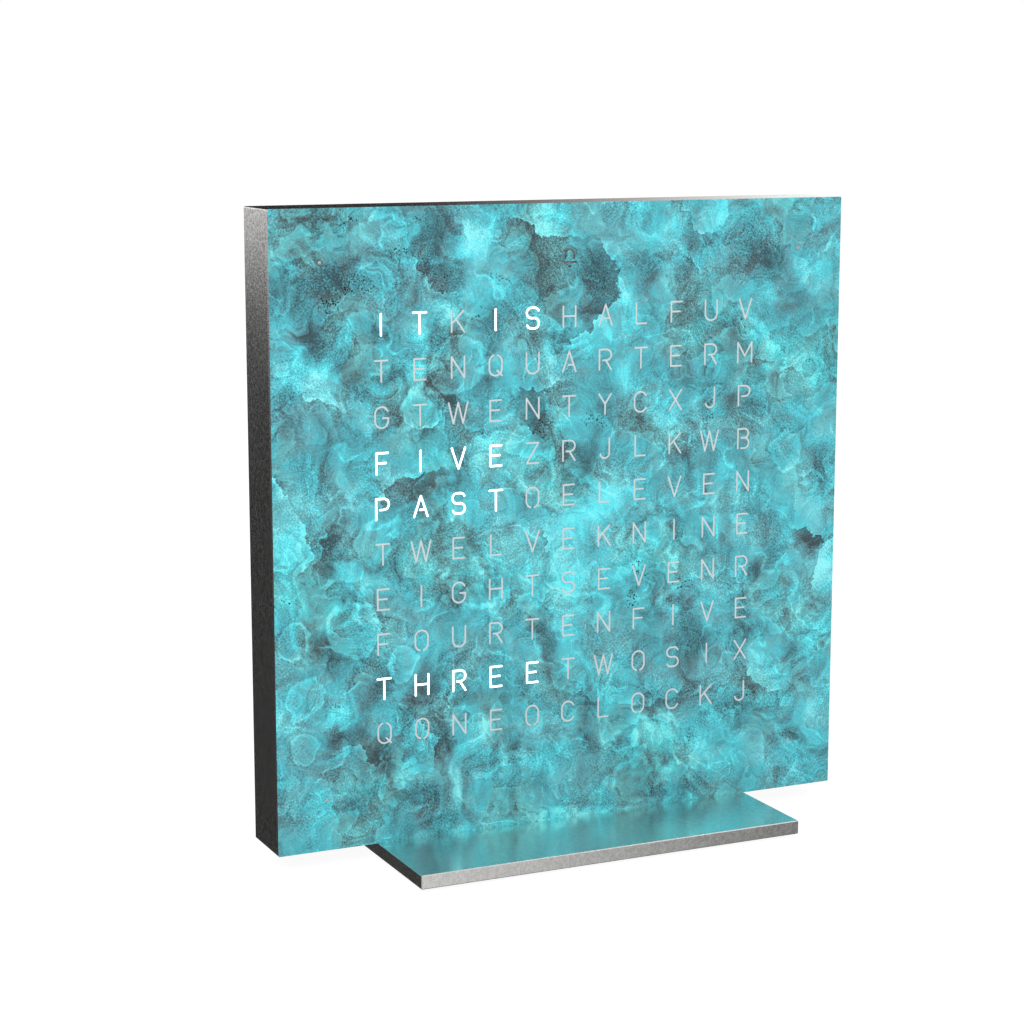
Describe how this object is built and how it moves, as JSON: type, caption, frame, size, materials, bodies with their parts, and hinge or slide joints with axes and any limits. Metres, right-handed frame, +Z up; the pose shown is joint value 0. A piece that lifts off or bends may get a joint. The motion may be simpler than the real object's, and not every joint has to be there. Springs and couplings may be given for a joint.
{
  "type": "word clock",
  "caption": "Square table clock that lights words cut in a patinated face, on a slim steel housing and stand plate.",
  "frame": {"origin": "on the table, under the middle of the stand plate", "axes": "+Z up, the lit face looks along -Y, +X to the right as the face is read"},
  "size_m": [0.135, 0.0624, 0.1386],
  "materials": {
    "patina": "turquoise patina",
    "diffuser": "milky",
    "black_plastic": "moulded",
    "circuit_board": "solder mask",
    "led": "moulded",
    "blasted_steel": "bead-blasted",
    "plain_steel": "mill",
    "rear_black": "fine powder coat",
    "black_screw": "black oxide",
    "button_cap": "moulded",
    "bright_steel": "nickel-plated",
    "chip_black": "moulded",
    "capacitor_tan": "fired",
    "stand_steel": "bead-blasted",
    "pad_rubber": "matte"
  },
  "bodies": {
    "clock": {"face_plate": "patina", "letter_diffuser": "diffuser", "light_baffle": "black_plastic", "led_board": "circuit_board", "letter_leds": "led", "minute_leds": "led", "alarm_led": "led", "housing_frame": "blasted_steel", "corner_posts": "plain_steel", "rear_cover": "rear_black", "clamp_screws": "black_screw", "switch_bodies": "black_plastic", "usb_shell": "bright_steel", "usb_tongue": "black_plastic", "coin_cell": "bright_steel", "cell_holder": "black_plastic", "cell_clip": "bright_steel", "alarm_buzzer": "black_plastic", "controller_chip": "chip_black", "driver_chips": "chip_black", "regulator_chip": "chip_black", "clock_crystal": "bright_steel", "capacitors": "capacitor_tan", "stand_plate": "stand_steel", "stand_screws": "bright_steel", "stand_bar": "plain_steel", "foot_pads": "pad_rubber"},
    "mode_key": {"mode_button": "button_cap", "mode_plunger": "black_plastic"},
    "hour_key": {"hour_button": "button_cap", "hour_plunger": "black_plastic"},
    "minute_key": {"minute_button": "button_cap", "minute_plunger": "black_plastic"},
    "alarm_key": {"alarm_button": "button_cap", "alarm_plunger": "black_plastic"}
  },
  "joints": [
    {"name": "mode_press", "type": "slide", "parent": "clock", "child": "mode_key", "axis": [0, -1, 0], "range_m": [0, 0.0003], "stiffness_N_per_m": 400, "springref_m": -0.0005},
    {"name": "hour_press", "type": "slide", "parent": "clock", "child": "hour_key", "axis": [0, -1, 0], "range_m": [0, 0.0003], "stiffness_N_per_m": 400, "springref_m": -0.0005},
    {"name": "minute_press", "type": "slide", "parent": "clock", "child": "minute_key", "axis": [0, -1, 0], "range_m": [0, 0.0003], "stiffness_N_per_m": 400, "springref_m": -0.0005},
    {"name": "alarm_press", "type": "slide", "parent": "clock", "child": "alarm_key", "axis": [0, -1, 0], "range_m": [0, 0.0003], "stiffness_N_per_m": 400, "springref_m": -0.0005}
  ]
}
